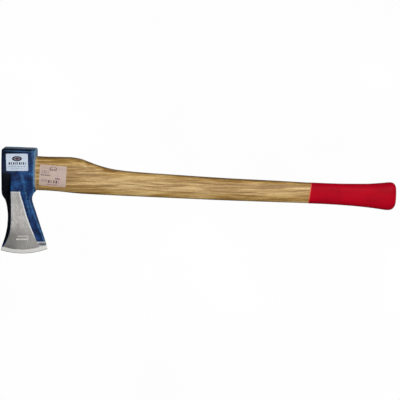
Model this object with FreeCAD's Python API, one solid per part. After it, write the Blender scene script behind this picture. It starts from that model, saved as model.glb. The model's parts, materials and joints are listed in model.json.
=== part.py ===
import FreeCAD, Part
import math
import os

# Splitting maul: forged steel head, bent ash handle wedged into the eye, red dipped grip.
#
# Every piece is drawn in the head's own frame, in millimetres: X runs from the toe of the
# cutting edge towards the handle, Y from the cutting edge up to the poll, and Z across the
# cheeks with Z = 0 on the mid plane. lay_down() then puts the whole tool as it rests on a
# level floor: on the ground face of the back cheek and the swell of the grip. In that
# frame Z is up and the origin is under the middle of the tool, on the floor.

Vector = FreeCAD.Vector

# Head
POLL_Y = 218.6
POLL_SLOPE = 0.04
POLL_CORNER_X = 11.2
HANDLE_SIDE_X = 78.4
CHEEK_HALF = 25.0
POLL_CHAMFER = 2.0
CORNER_CHAMFER = 2.5
EDGE_ARC_R = 141.0
EDGE_ARC_X = 43.9
TOE_X = -1.0
HEEL_X = 95.2
EDGE_HALF = 0.35
BEVEL_WIDTH = 9.0
BEVEL_HALF = 3.1
SHOULDER_Y = 132.5
SHOULDER_HALF = 26.0
WEDGE_TOP_Y = 166.0
FLANK_SLOPE = 0.9

# Half thickness of the forged web that carries the raised wedge, from edge to cheek
WEB_HALF_AT_Y = [
    (-3, 1.4), (14, 2.7), (33, 4.4), (55, 7.2), (82, 10.8), (110, 14.5), (134, 20), (168, CHEEK_HALF),
]

# Rims of the blade, from just above the cutting edge up to the block that holds the eye
TOE_RIM = [(3.9, 20.5), (10.8, 40), (15.7, 61), (17.9, 84), (16.4, 105.5), (12.7, 118), (9.2, 131)]
HEEL_RIM = [(90.5, 27.5), (81, 57.5), (72.7, 84), (66, 104), (66, 116), (72.4, 128), (75.4, 140)]

# Edges of the ground wedge on the cheek
WEDGE_TOE_SIDE = [(28.4, SHOULDER_Y), (27.2, 105), (24.9, 69), (19.3, 41), (7, 17), (-12, -6)]
WEDGE_HEEL_SIDE = [(47.4, SHOULDER_Y), (52.8, 105), (62.8, 60), (73.3, 28), (83, -6)]
WEDGE_TOP_X = (32.2, 52.0)

# Eye and tongue
EYE_Y = 165.5
EYE_MOUTH_HEIGHT = 64.0
EYE_MOUTH_WIDTH = 25.0
EYE_OUTER_HEIGHT = 68.0
EYE_OUTER_WIDTH = 28.0
TONGUE_END_X = 10.6
TONGUE_ROOT_X = 84.0
OVAL_POWER = 2.6
OVAL_POINTS = 10

# Handle: (x, top, bottom, half thickness); the first lies inside the head, which trims it,
# and the last two give the swell that the end rounds off
HANDLE_STATIONS = [
    (71, 201.2, 132.2, 17.0),
    (100, 199.5, 130.8, 16.8),
    (124, 199.1, 128.8, 16.4),
    (145, 198.6, 126.4, 16.0),
    (165, 195.6, 124.5, 15.5),
    (185, 188.3, 123.3, 14.8),
    (205, 181.0, 122.3, 14.2),
    (235, 173.5, 120.8, 13.6),
    (275, 168.7, 118.9, 13.2),
    (356, 162.8, 115.2, 13.0),
    (457, 156.0, 110.7, 12.8),
    (558, 150.7, 107.1, 12.8),
    (650, 145.6, 103.9, 12.8),
    (700, 144.0, 100.9, 13.2),
    (740, 143.8, 97.2, 14.3),
    (775, 145.6, 92.5, 16.0),
    (803.5, 149.0, 87.4, 17.2),
]
END_POWER = 3.1
END_TOP_POWER = 4.6
END_SECTIONS = 9
END_LAST_TURN_DEG = 88.0

# Points of the back cheek and the grip that touch the floor
HEAD_REST_X = 77.0
GRIP_REST_X = 792.0

# Wedges in the tongue
KERF_DEPTH = 45.0
KERF_MOUTH = 6.0
KERF_TIP = 1.0
RING_OUTER_R = 8.0
RING_WALL = 1.75
RING_DEPTH = 18.0
RING_OFFSET = 17.0

# Dipped coat on the grip
COAT_THICKNESS = 0.4
COAT_EDGE = (627.3, 125.9)
COAT_SLANT_DEG = -7.8

# Half side of the blocks that trim a piece to an outline or a slanted line, past the piece all round
TRIM_REACH = 250.0

# Labels
LABEL_THICKNESS = 0.2
LABEL_CORNER_R = 2.5
HEAD_LABEL_CENTRE = (42.8, 191.9)
HEAD_LABEL_SIZE = (43.4, 34.6)
HANDLE_LABEL_CENTRE = (111.9, 163.0)
HANDLE_LABEL_SIZE = (53.5, 42.9)
HANDLE_LABEL_TURN_DEG = -5.2


def ground_half(y):
    """Half thickness of the ground wedge at height y."""
    slope = (SHOULDER_HALF - BEVEL_HALF) / (SHOULDER_Y - BEVEL_WIDTH)
    return BEVEL_HALF + slope * (y - BEVEL_WIDTH)


def curve(points):
    """Smooth edge through the points."""
    spline = Part.BSplineCurve()
    spline.interpolate([Vector(*p) for p in points])
    return spline.toShape()


def line(start, end):
    return Part.makeLine(Vector(*start), Vector(*end))


def flat(points, z=0.0):
    """Plane points lifted to height z."""
    return [(x, y, z) for x, y in points]


def mirrored(shape):
    """The same shape on the other cheek."""
    return shape.mirror(Vector(0, 0, 0), Vector(0, 0, 1))


def edge_point(x):
    """Point of the curved cutting edge at x."""
    return (x, EDGE_ARC_R - math.sqrt(EDGE_ARC_R ** 2 - (x - EDGE_ARC_X) ** 2))


def poll_point(x, below=0.0):
    """Point at x on the slightly slanted poll, or a little below it."""
    return (x, POLL_Y - POLL_SLOPE * x - below)


def head_outline():
    """Face of the head seen on its cheek."""
    toe = edge_point(TOE_X)
    heel = edge_point(HEEL_X)
    block = [
        HEEL_RIM[-1],
        poll_point(HANDLE_SIDE_X, POLL_CHAMFER),
        poll_point(HANDLE_SIDE_X - POLL_CHAMFER),
        poll_point(POLL_CORNER_X + POLL_CHAMFER),
        poll_point(POLL_CORNER_X, POLL_CHAMFER),
        TOE_RIM[-1],
    ]
    edge = Part.Arc(Vector(*toe, 0), Vector(EDGE_ARC_X, 0, 0), Vector(*heel, 0)).toShape()
    wire = Part.Wire([
        edge,
        curve(flat([heel] + HEEL_RIM)),
        Part.makePolygon([Vector(*p) for p in block]),
        curve(flat([toe] + TOE_RIM)),
    ])
    return Part.Face(wire)


def head_prism():
    """The head's outline carried through its whole thickness."""
    prism = head_outline().extrude(Vector(0, 0, 2 * TRIM_REACH))
    prism.translate(Vector(0, 0, -TRIM_REACH))
    return prism


def web():
    """Forged body without its raised wedges: the outline, thinning towards the edge."""
    start_y, start_half = WEB_HALF_AT_Y[0]
    last_y = WEB_HALF_AT_Y[-1][0]
    block = [
        (last_y, CHEEK_HALF),
        (TRIM_REACH, CHEEK_HALF),
        (TRIM_REACH, -CHEEK_HALF),
        (last_y, -CHEEK_HALF),
    ]
    section = Part.Wire([
        curve([(-TRIM_REACH, y, half) for y, half in WEB_HALF_AT_Y]),
        Part.makePolygon([Vector(-TRIM_REACH, y, half) for y, half in block]),
        curve([(-TRIM_REACH, y, -half) for y, half in WEB_HALF_AT_Y]),
        line((-TRIM_REACH, start_y, -start_half), (-TRIM_REACH, start_y, start_half)),
    ])
    wedge = Part.Face(section).extrude(Vector(2 * TRIM_REACH, 0, 0))
    return head_prism().common(wedge)


def four_sided(toe_side, heel_side):
    """Closed wire from two side curves that run the same way."""
    return Part.Wire([
        curve(toe_side),
        line(toe_side[-1], heel_side[-1]),
        curve(heel_side),
        line(heel_side[0], toe_side[0]),
    ])


def raised_wedge():
    """Ground wedge that stands on the front of the web, with sloping flanks."""
    crown_toe = [(x, y, ground_half(y)) for x, y in WEDGE_TOE_SIDE]
    crown_heel = [(x, y, ground_half(y)) for x, y in WEDGE_HEEL_SIDE]
    foot_toe = [(x - FLANK_SLOPE * z, y, 0) for x, y, z in crown_toe]
    foot_heel = [(x + FLANK_SLOPE * z, y, 0) for x, y, z in crown_heel]
    foot = four_sided(foot_toe, foot_heel)
    crown = four_sided(crown_toe, crown_heel)
    lower = Part.makeLoft([foot, crown], True, True)
    sections = []
    for y, x_toe, x_heel, z in (
        (SHOULDER_Y, WEDGE_TOE_SIDE[0][0], WEDGE_HEEL_SIDE[0][0], SHOULDER_HALF),
        (WEDGE_TOP_Y, WEDGE_TOP_X[0], WEDGE_TOP_X[1], CHEEK_HALF),
    ):
        spread = FLANK_SLOPE * z
        corners = [(x_toe - spread, y, 0), (x_toe, y, z), (x_heel, y, z), (x_heel + spread, y, 0)]
        sections.append(Part.makePolygon([Vector(*p) for p in corners + corners[:1]]))
    upper = Part.makeLoft(sections, True, True)
    return lower.fuse(upper)


def bevel_limit():
    """Turned body whose rim is the sharp edge and the bevel behind it."""
    slope = (BEVEL_HALF - EDGE_HALF) / BEVEL_WIDTH
    hub_half = EDGE_HALF + slope * EDGE_ARC_R
    section = Part.makePolygon([
        Vector(0, 0, -hub_half),
        Vector(EDGE_ARC_R, 0, -EDGE_HALF),
        Vector(EDGE_ARC_R, 0, EDGE_HALF),
        Vector(0, 0, hub_half),
        Vector(0, 0, -hub_half),
    ])
    turned = Part.Face(section).revolve(Vector(0, 0, 0), Vector(0, 0, 1), 360)
    turned.translate(Vector(EDGE_ARC_X, EDGE_ARC_R, 0))
    return turned.toNurbs()


def bevel_bars(start, end, inward, size):
    """Bars that bevel a long edge of both cheeks; inward is the way from the edge into the block."""
    over = 1.0
    sections = []
    for x, y in (start, end):
        edge = Vector(x, y, CHEEK_HALF)
        outside = edge - inward * over
        corners = [
            outside + Vector(0, 0, over),
            edge + inward * (size + over) + Vector(0, 0, over),
            outside - Vector(0, 0, size + over),
        ]
        sections.append(Part.makePolygon(corners + corners[:1]))
    bar = Part.makeLoft(sections, True, True)
    return bar.fuse(mirrored(bar))


def oval_half(centre, height, width, x, side):
    """Upper (side 1) or lower (side -1) half of the oval, drawn between its widest points."""
    points = []
    for i in range(OVAL_POINTS + 1):
        turn = math.pi * i / OVAL_POINTS
        c = math.cos(turn)
        s = math.sin(turn)
        y = centre + side * height / 2 * s ** (2 / OVAL_POWER)
        z = side * width / 2 * math.copysign(abs(c) ** (2 / OVAL_POWER), c)
        points.append(Vector(x, y, z))
    spline = Part.BSplineCurve()
    rise = Vector(0, side, 0)
    spline.interpolate(Points=points, InitialTangent=rise, FinalTangent=-rise)
    return spline.toShape()


def oval(centre, height, width, x):
    """Closed, slightly squared oval across the handle at x."""
    return Part.Wire([oval_half(centre, height, width, x, side) for side in (1, -1)])


def eye_taper(from_x, to_x):
    """Body with the eye's tapered oval section between two heights along the handle."""
    sections = []
    for x in (from_x, to_x):
        share = (HANDLE_SIDE_X - x) / (HANDLE_SIDE_X - TONGUE_END_X)
        height = EYE_MOUTH_HEIGHT + share * (EYE_OUTER_HEIGHT - EYE_MOUTH_HEIGHT)
        width = EYE_MOUTH_WIDTH + share * (EYE_OUTER_WIDTH - EYE_MOUTH_WIDTH)
        sections.append(oval(EYE_Y, height, width, x))
    return Part.makeLoft(sections, True, True)


def make_head():
    toe_corner = bevel_bars(TOE_RIM[-1], (POLL_CORNER_X, POLL_Y), Vector(1, 0, 0), CORNER_CHAMFER)
    heel_corner = bevel_bars(HEEL_RIM[-1], (HANDLE_SIDE_X, POLL_Y), Vector(-1, 0, 0), CORNER_CHAMFER)
    poll_edge = bevel_bars(poll_point(TOE_X), poll_point(HEEL_X), Vector(0, -1, 0), POLL_CHAMFER)
    blank = web().cut([toe_corner, heel_corner, poll_edge])
    wedge = raised_wedge()
    forging = blank.fuse([wedge, mirrored(wedge)])
    forging = forging.common(head_prism()).common(bevel_limit())
    return forging.cut(eye_taper(TONGUE_END_X - 5, HANDLE_SIDE_X + 5)).removeSplitter().Solids[0]


def end_stations(grow):
    """Sections that close the swell of the grip with an end that is rounder below than on top."""
    x_from, *start = HANDLE_STATIONS[-2]
    x_to, *full = HANDLE_STATIONS[-1]
    stations = []
    for i in range(1, END_SECTIONS + 1):
        turn = math.radians(END_LAST_TURN_DEG * i / END_SECTIONS)
        share = math.sin(turn) ** (2 / END_POWER)
        shrink = math.cos(turn) ** (2 / END_POWER)
        top_shrink = (1 - share ** END_TOP_POWER) ** (1 / END_TOP_POWER)
        top, bottom, half = [a + share * (b - a) for a, b in zip(start, full)]
        middle = (top + bottom) / 2
        reach = (top - bottom) / 2 + grow
        x = x_from + share * (x_to + grow - x_from)
        top = middle + top_shrink * reach - grow
        bottom = middle - shrink * reach + grow
        stations.append((x, top, bottom, shrink * (half + grow) - grow))
    return stations


def make_shaft(grow=0.0):
    """Handle outside the eye, grown all round by a coat thickness."""
    sections = []
    for x, top, bottom, half in HANDLE_STATIONS[:-1] + end_stations(grow):
        sections.append(oval((top + bottom) / 2, top - bottom + 2 * grow, 2 * (half + grow), x))
    return Part.makeLoft(sections, True, False)


def make_kerf_wedge_blank():
    """V-shaped bar across the tongue, thick end at the outer face of the eye."""
    tip_x = TONGUE_END_X + KERF_DEPTH
    low_y = EYE_Y - EYE_OUTER_HEIGHT
    section = Part.makePolygon([
        Vector(TONGUE_END_X, low_y, -KERF_MOUTH / 2),
        Vector(tip_x, low_y, -KERF_TIP / 2),
        Vector(tip_x, low_y, KERF_TIP / 2),
        Vector(TONGUE_END_X, low_y, KERF_MOUTH / 2),
        Vector(TONGUE_END_X, low_y, -KERF_MOUTH / 2),
    ])
    return Part.Face(section).extrude(Vector(0, 2 * EYE_OUTER_HEIGHT, 0))


def make_ring_wedges():
    """Two identical steel tubes driven into the tongue, either side of its middle."""
    rings = []
    for offset in (-RING_OFFSET, RING_OFFSET):
        mouth = Vector(TONGUE_END_X, EYE_Y + offset, 0)
        outer = Part.makeCylinder(RING_OUTER_R, RING_DEPTH, mouth, Vector(1, 0, 0))
        inner = Part.makeCylinder(RING_OUTER_R - RING_WALL, RING_DEPTH, mouth, Vector(1, 0, 0))
        rings.append(outer.cut(inner))
    return Part.makeCompound(rings)


def make_kerf_wedge(rings):
    tongue = eye_taper(TONGUE_END_X, TONGUE_ROOT_X)
    return make_kerf_wedge_blank().common(tongue).cut(rings)


def make_handle(rings):
    tongue = eye_taper(TONGUE_END_X, TONGUE_ROOT_X).cut(make_kerf_wedge_blank()).cut(rings)
    return make_shaft().cut(head_prism()).fuse(tongue)


def make_grip_coating():
    """Dipped skin over the grip, from the slanted edge round the end of the handle."""
    edge_x, edge_y = COAT_EDGE
    corner = Vector(edge_x, edge_y - TRIM_REACH, -TRIM_REACH)
    dip = Part.makeBox(TRIM_REACH, 2 * TRIM_REACH, 2 * TRIM_REACH, corner)
    dip.rotate(Vector(edge_x, edge_y, 0), Vector(0, 0, 1), COAT_SLANT_DEG)
    return make_shaft(COAT_THICKNESS).common(dip).cut(make_shaft())


def label_prism(size, base_z, height):
    """Upright prism with a rounded rectangle as its outline, about the Z axis."""
    width, depth = size
    block = Part.makeBox(width, depth, height, Vector(-width / 2, -depth / 2, base_z))
    upright = [e for e in block.Edges if e.Vertexes[0].Z != e.Vertexes[-1].Z]
    return block.makeFillet(LABEL_CORNER_R, upright)


def make_head_label():
    label = label_prism(HEAD_LABEL_SIZE, CHEEK_HALF, LABEL_THICKNESS)
    label.translate(Vector(*HEAD_LABEL_CENTRE, 0))
    return label


def make_handle_label():
    """Label wrapped over the front of the handle."""
    cutter = label_prism(HANDLE_LABEL_SIZE, 0, TRIM_REACH)
    cutter.rotate(Vector(0, 0, 0), Vector(0, 0, 1), HANDLE_LABEL_TURN_DEG)
    cutter.translate(Vector(*HANDLE_LABEL_CENTRE, 0))
    return make_shaft(LABEL_THICKNESS).common(cutter).cut(make_shaft())


def make_pieces():
    rings = make_ring_wedges()
    return {
        "head": make_head(),
        "handle": make_handle(rings),
        "kerf_wedge": make_kerf_wedge(rings),
        "ring_wedges": rings,
        "grip_coating": make_grip_coating(),
        "head_label": make_head_label(),
        "handle_label": make_handle_label(),
    }


def turn_all(pieces, axis, degrees):
    for shape in pieces.values():
        shape.rotate(Vector(0, 0, 0), axis, degrees)


def lowest(shape):
    return shape.optimalBoundingBox().ZMin


def lay_down(pieces):
    """Rest the tool on its back ground face and the swell of the grip, origin below its middle."""
    face_slope = (SHOULDER_HALF - BEVEL_HALF) / (SHOULDER_Y - BEVEL_WIDTH)
    turn_all(pieces, Vector(1, 0, 0), math.degrees(math.atan(face_slope)))
    gap = lowest(pieces["grip_coating"]) - lowest(pieces["head"])
    span = GRIP_REST_X - HEAD_REST_X
    turn_all(pieces, Vector(0, 1, 0), math.degrees(math.atan(gap / span)))
    box = Part.makeCompound(list(pieces.values())).optimalBoundingBox()
    for shape in pieces.values():
        shape.translate(Vector(-box.Center.x, -box.Center.y, -box.ZMin))


def main():
    os.makedirs("parts", exist_ok=True)
    pieces = make_pieces()
    lay_down(pieces)
    for node, shape in pieces.items():
        shape.exportStep("parts/" + node + ".step")


main()
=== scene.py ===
"""Looks of a splitting maul that lies on its cheek: forged blue head with a ground wedge,
bent ash handle wedged into the eye, red dipped grip and two plain labels.

Shapes are worked out in millimetres in the head's own frame, as in the CAD: X from the toe
of the cutting edge towards the handle, Y from the edge up to the poll, Z across the cheeks
with Z = 0 on the mid plane. place() puts them in the row frame, in metres.
"""

import json
import math

import bpy
import numpy as np
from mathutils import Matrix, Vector


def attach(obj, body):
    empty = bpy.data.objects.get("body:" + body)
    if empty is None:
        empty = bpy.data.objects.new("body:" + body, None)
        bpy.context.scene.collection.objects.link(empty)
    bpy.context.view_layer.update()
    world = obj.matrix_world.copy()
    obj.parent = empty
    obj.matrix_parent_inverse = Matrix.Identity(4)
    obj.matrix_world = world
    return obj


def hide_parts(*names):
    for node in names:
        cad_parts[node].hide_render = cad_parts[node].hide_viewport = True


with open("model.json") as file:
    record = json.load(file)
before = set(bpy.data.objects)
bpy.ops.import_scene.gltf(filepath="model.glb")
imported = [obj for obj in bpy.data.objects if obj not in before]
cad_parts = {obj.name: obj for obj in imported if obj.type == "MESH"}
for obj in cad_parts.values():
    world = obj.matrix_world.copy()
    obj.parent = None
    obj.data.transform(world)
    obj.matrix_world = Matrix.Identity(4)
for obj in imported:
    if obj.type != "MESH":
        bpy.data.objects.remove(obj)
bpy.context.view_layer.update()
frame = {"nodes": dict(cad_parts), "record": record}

# ---------------------------------------------------------------- head frame and camera

POLL_Y = 218.6
POLL_SLOPE = 0.04
POLL_MIDDLE_X = 45.0
POLL_MIDDLE_Y = POLL_Y - POLL_SLOPE * POLL_MIDDLE_X
CAMERA_AT = (0.0052, 0.0004, 2.1)
SENSOR_MM = 36.0
LENS_MM = 92.34

mounts = {m["name"]: m for m in frame["record"]["mounts"]}
along = Vector(mounts["grip"]["axis"]).normalized()
off_poll = Vector(mounts["poll_face"]["axis"])
pollward = (off_poll - off_poll.dot(along) * along).normalized()
TURN = np.array([along, pollward, along.cross(pollward)]).T
POLL_MIDDLE = np.array([POLL_MIDDLE_X, POLL_MIDDLE_Y, 0])
SHIFT = np.array(mounts["poll_face"]["pos_m"]) - TURN @ POLL_MIDDLE / 1000


def place(points):
    """Head-frame millimetres to row-frame metres."""
    return np.asarray(points, float) @ TURN.T / 1000 + SHIFT


# ---------------------------------------------------------------- curves and noise

def flow(table):
    """Smooth curve through (at, value) pairs that doesn't overshoot, as a function."""
    at, value = (np.array(c, float) for c in zip(*sorted(table)))
    step = np.diff(at)
    slope = np.diff(value) / step
    tangent = np.empty_like(value)
    tangent[0], tangent[-1] = slope[0], slope[-1]
    same_way = slope[:-1] * slope[1:] > 0
    mean = 2 * slope[:-1] * slope[1:] / np.where(same_way, slope[:-1] + slope[1:], 1)
    tangent[1:-1] = np.where(same_way, mean, 0)

    def curve(x):
        x = np.clip(x, at[0], at[-1])
        i = np.clip(np.searchsorted(at, x) - 1, 0, len(step) - 1)
        t = (x - at[i]) / step[i]
        a, b = value[i], value[i + 1]
        return (a * (1 + 2 * t) * (1 - t) ** 2 + b * t * t * (3 - 2 * t)
                + step[i] * (tangent[i] * t * (1 - t) ** 2 - tangent[i + 1] * t * t * (1 - t)))
    return curve


def smoothstep(low, high, x):
    t = np.clip((x - low) / (high - low), 0, 1)
    return t * t * (3 - 2 * t)


def soft_max(a, b, blend):
    """Larger of a and b, with the corner filled over a width of blend."""
    return np.maximum(a, b) + blend / 4 * np.clip(1 - np.abs(a - b) / blend, 0, None) ** 2


def soft_min(a, b, blend):
    return -soft_max(-a, -b, blend)


def lattice(cell, seed):
    n = cell[..., 0] * 73856093 ^ cell[..., 1] * 19349663 ^ cell[..., 2] * 83492791 ^ seed * 2654435761
    n = (n ^ (n >> 15)) * 2246822519 & 0xFFFFFFFF
    n = (n ^ (n >> 13)) * 3266489917 & 0xFFFFFFFF
    return (n ^ (n >> 16) & 0xFFFF) % 65536 / 32767.5 - 1


def noise(points, size, seed, octaves=1):
    """Seeded value noise in -1..1, with features of about size."""
    total = np.zeros(len(points))
    gain = 1.0
    for octave in range(octaves):
        p = np.asarray(points, float) / size
        cell = np.floor(p).astype(np.int64)
        t = p - cell
        t = t * t * (3 - 2 * t)
        value = np.zeros(len(p))
        for corner in range(8):
            bits = np.array([corner >> k & 1 for k in range(3)])
            weight = np.prod(np.where(bits, t, 1 - t), axis=1)
            value += weight * lattice(cell + bits, seed + octave)
        total += gain * value
        gain /= 2
        size /= 2.03
    return total


# ---------------------------------------------------------------- mesh helpers

def new_mesh(name, verts, faces, smooth_angle=40.0):
    """Object from head-frame points, shaded smooth except over sharp corners."""
    mesh = bpy.data.meshes.new(name)
    mesh.from_pydata(place(verts).tolist(), [], faces)
    mesh.update()
    finish_mesh(mesh, smooth_angle)
    obj = bpy.data.objects.new(name, mesh)
    bpy.context.scene.collection.objects.link(obj)
    return obj


def finish_mesh(mesh, smooth_angle):
    mesh.validate()
    mesh.shade_smooth()
    mesh.set_sharp_from_angle(angle=math.radians(smooth_angle))


def ring_faces(rings, around, first=0):
    """Quads that join closed rings of the same number of points."""
    faces = []
    for r in range(rings - 1):
        a = first + r * around
        b = a + around
        for i in range(around):
            j = (i + 1) % around
            faces.append((a + i, a + j, b + j, b + i))
    return faces


def tube(rings):
    """Closed skin over rings of points, with a fan over each end: (points, faces)."""
    count, around, _ = rings.shape
    points = rings.reshape(-1, 3)
    centres = np.array([rings[0].mean(0), rings[-1].mean(0)])
    faces = ring_faces(count, around)
    last = (count - 1) * around
    for i in range(around):
        j = (i + 1) % around
        faces.append((count * around, j, i))
        faces.append((count * around + 1, last + i, last + j))
    return np.vstack([points, centres]), faces


def set_attribute(obj, name, values):
    """Stores one number or one vector per point, in mesh order."""
    values = np.asarray(values, np.float32)
    kind, field = ("FLOAT", "value") if values.ndim == 1 else ("FLOAT_VECTOR", "vector")
    layer = obj.data.attributes.new(name, kind, "POINT")
    layer.data.foreach_set(field, values.ravel())


def points_of(obj):
    """Points of a built piece, back in head-frame millimetres."""
    co = np.empty(len(obj.data.vertices) * 3)
    obj.data.vertices.foreach_get("co", co)
    return (co.reshape(-1, 3) - SHIFT) @ TURN * 1000


def cut(obj, cutter):
    """Takes the cutter's volume out of a piece and leaves no modifier behind."""
    mod = obj.modifiers.new("cut", "BOOLEAN")
    mod.operation = "DIFFERENCE"
    mod.solver = "EXACT"
    mod.object = cutter
    graph = bpy.context.evaluated_depsgraph_get()
    mesh = bpy.data.meshes.new_from_object(obj.evaluated_get(graph))
    obj.modifiers.clear()
    obj.data = mesh


def drop(obj):
    bpy.data.objects.remove(obj, do_unlink=True)


# ---------------------------------------------------------------- head: shape

EDGE_ARC_R = 141.0
EDGE_ARC_X = 43.9
EDGE_HALF = 0.3
BEVEL_SLOPE = 0.3
BEVEL_WIDTH = 9.0
BEVEL_HALF = 3.1
HEEL_STRIP_TOP_Y = 25.6
SHOULDER_Y = 132.5
SHOULDER_HALF = 26.0
GROUND_SLOPE = (SHOULDER_HALF - BEVEL_HALF) / (SHOULDER_Y - BEVEL_WIDTH)
FLANK_SLOPE = 0.9
CHEEK_HALF = 25.0
RIM_R = 3.2
POLL_CHAMFER = 2.0
TOP_ROW_Y = POLL_MIDDLE_Y - POLL_CHAMFER - 0.8
STAMP_BOX = (33.0, 58.0, 30.0, 39.6)
STAMP_DEPTH = 0.28
HANDLE_SIDE_X = 78.4
SHOULDER_X = 76.5
TONGUE_END_X = 10.6
EYE_Y = 165.5
EYE_MOUTH = (64.0, 25.0)
EYE_OUTER = (68.0, 28.0)
EYE_PLAY = 0.25
EYE_CUT_X = (90, 77, 40, 7.5, -6)
OVAL_POWER = 2.6
AROUND = 96
HEAD_LABEL = ((42.8, 191.9), (43.4, 34.6), 0.0)

# Curves along Y: half thickness of the web, the two rims of the outline, the two edges of the
# raised wedge, its half thickness above the ground face, and the line on its flank where rubbed paint
# and a painted highlight show
web_half = flow([(-3, 1.4), (14, 2.7), (33, 4.4), (55, 7.2), (82, 10.8), (110, 14.5), (134, 20),
                 (168, CHEEK_HALF), (240, CHEEK_HALF)])
toe_rim = flow([(-6, -6), (7.34, -1), (20.5, 3.9), (40, 10.8), (61, 15.7), (84, 17.9), (97, 17.4),
                (105.5, 16.4), (114, 14.4), (118, 12.3), (122.5, 9.9), (127, 8.7), (132, 8.5),
                (144, 9.1), (153, 9.6), (173, 10.4), (189, 10.8), (203, 11.1), (240, 11.3)])
heel_rim = flow([(-6, 100), (9.66, 95.2), (27.5, 90.5), (57.5, 81), (84, 72.7), (100, 67.5),
                 (108, 65.3), (112.5, 64.9), (116, 65.5), (120, 66.9), (124.5, 69.8), (127.5, 72.6),
                 (131, 74.1), (137, 74.9), (165, 75.6), (190, 76.7), (205, 77.9), (213.5, 78.4),
                 (240, 79.3)])
crown_toe = flow([(-12, -16), (17, 7), (30, 14.6), (41, 19.3), (56, 23), (69, 24.9), (105, 27.2),
                  (132, 28.6), (166, 31), (240, 31)])
crown_heel = flow([(-12, 85), (20, 76), (28, 73.3), (40, 69.6), (60, 62.8), (84, 56.4), (105, 52),
                   (132, 46.8), (146, 48.6), (166, 52), (240, 52)])
crown_half = flow([(SHOULDER_Y, SHOULDER_HALF), (158, 25.8), (164, 25.6), (172, 23.5), (240, 15)])
flank_shine = flow([(60, 70), (84, 63.5), (105, 59.1), (134, 56.4), (160, 52.5), (172, 48)])


def edge_y(x):
    """Height of the curved cutting edge at x."""
    return EDGE_ARC_R - np.sqrt(EDGE_ARC_R ** 2 - (x - EDGE_ARC_X) ** 2)


def from_edge(x, y):
    """Distance inside the arc of the cutting edge."""
    return EDGE_ARC_R - np.hypot(x - EDGE_ARC_X, y - EDGE_ARC_R)


def from_poll(x, y):
    """Distance below the slanted face of the poll."""
    return POLL_Y - POLL_SLOPE * x - y


def row_y(h, x):
    """Rows follow the cutting edge, straighten out above it and end in line with the slanted poll."""
    slant = POLL_SLOPE * (x - POLL_MIDDLE_X) * smoothstep(160, TOP_ROW_Y, h)
    return h + edge_y(x) * np.clip(1 - h / 70, 0, 1) ** 2 - slant


def solve_x(boundary, h):
    """x where the row h meets a boundary curve x = boundary(y)."""
    x = boundary(h)
    for _ in range(6):
        x = boundary(row_y(h, x))
    return x


def ground_plane(y):
    """Half thickness of the raised wedge, ground flat below the shoulder."""
    below = BEVEL_HALF + GROUND_SLOPE * (y - BEVEL_WIDTH)
    return soft_min(below, crown_half(y), 0.35)


def flank_foot(y):
    """Width of the slope from the edge of the raised wedge down to the web."""
    return FLANK_SLOPE * np.clip(ground_plane(y) - web_half(y), 0.3, None)


def cheek_height(x, y):
    """Half thickness of the head over the point (x, y) of its outline, before any stamp."""
    crown = ground_plane(y)
    outside = np.maximum(crown_toe(y) - x, x - crown_heel(y))
    raised = crown - soft_max(outside, 0 * outside, 1.1) / FLANK_SLOPE
    z = soft_max(web_half(y), raised, 2.6)
    return soft_min(z, EDGE_HALF + BEVEL_SLOPE * from_edge(x, y), 0.25)


def rim_round(z, inset):
    """Takes the height down to a rounded rim; inset is the distance from the outline."""
    radius = np.minimum(RIM_R, 0.62 * z)
    t = np.clip(inset / radius, 0, 1)
    return z - radius * (1 - np.sqrt(np.clip(1 - (1 - t) ** 2, 0, 1)))


def head_rows():
    """Heights of the rows, closer where the surface turns."""
    spans = [(0, 1.5, 5), (1.5, 14, 26), (14, 28, 20), (28, 42, 32), (42, 128, 96), (128, 134, 16),
             (134, 158, 26), (158, 176, 22), (176, TOP_ROW_Y, 34)]
    rows = [np.linspace(a, b, n, endpoint=False) for a, b, n in spans]
    return np.concatenate(rows + [[TOP_ROW_Y]])


def head_columns(h):
    """x of every column on one cheek for each row, from the toe rim to the heel rim."""
    toe, heel = solve_x(toe_rim, h), solve_x(heel_rim, h)
    left, right = solve_x(crown_toe, h), solve_x(crown_heel, h)
    foot_l = left - flank_foot(row_y(h, left)) - 1
    foot_r = right + flank_foot(row_y(h, right)) + 1
    marks = np.stack([toe, toe + 2.4, foot_l, left - 0.9, left + 0.7,
                      right - 0.7, right + 0.9, foot_r, heel - 2.4, heel], 1)
    least = 0.25
    for k in range(1, 9):
        marks[:, k] = np.maximum(marks[:, k], marks[:, k - 1] + least)
    for k in range(8, 0, -1):
        marks[:, k] = np.minimum(marks[:, k], marks[:, k + 1] - least)
    counts = (7, 7, 7, 5, 108, 5, 7, 11, 7)
    columns = []
    for k, n in enumerate(counts):
        share = np.arange(n) / n
        if k == 0:
            share = share ** 1.6
        if k == len(counts) - 1:
            share = 1 - (1 - share) ** 1.6
        columns.append(marks[:, k:k + 1] + (marks[:, k + 1:k + 2] - marks[:, k:k + 1]) * share)
    return np.concatenate(columns + [marks[:, 9:10]], 1)


def stamp_depth(x, y):
    """Struck mark on the front cheek: a short thin row over a long thick one, closed at one end."""
    x0, x1, y0, y1 = STAMP_BOX
    u, v = (x - x0) / (x1 - x0), (y - y0) / (y1 - y0)
    inside = (u > 0) & (u < 1) & (v > 0) & (v < 1)
    gap = np.abs((u * 6.5) % 1 - 0.5) > 0.44
    low_row = (np.abs(v - 0.17) < 0.15) & ~gap
    high_row = (np.abs(v - 0.86) < 0.10) & (u > 0.18) & ~gap
    close = (u > 0.955) & (v < 0.9)
    return np.where(inside & (low_row | high_row | close), 1.0, 0.0)


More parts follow.
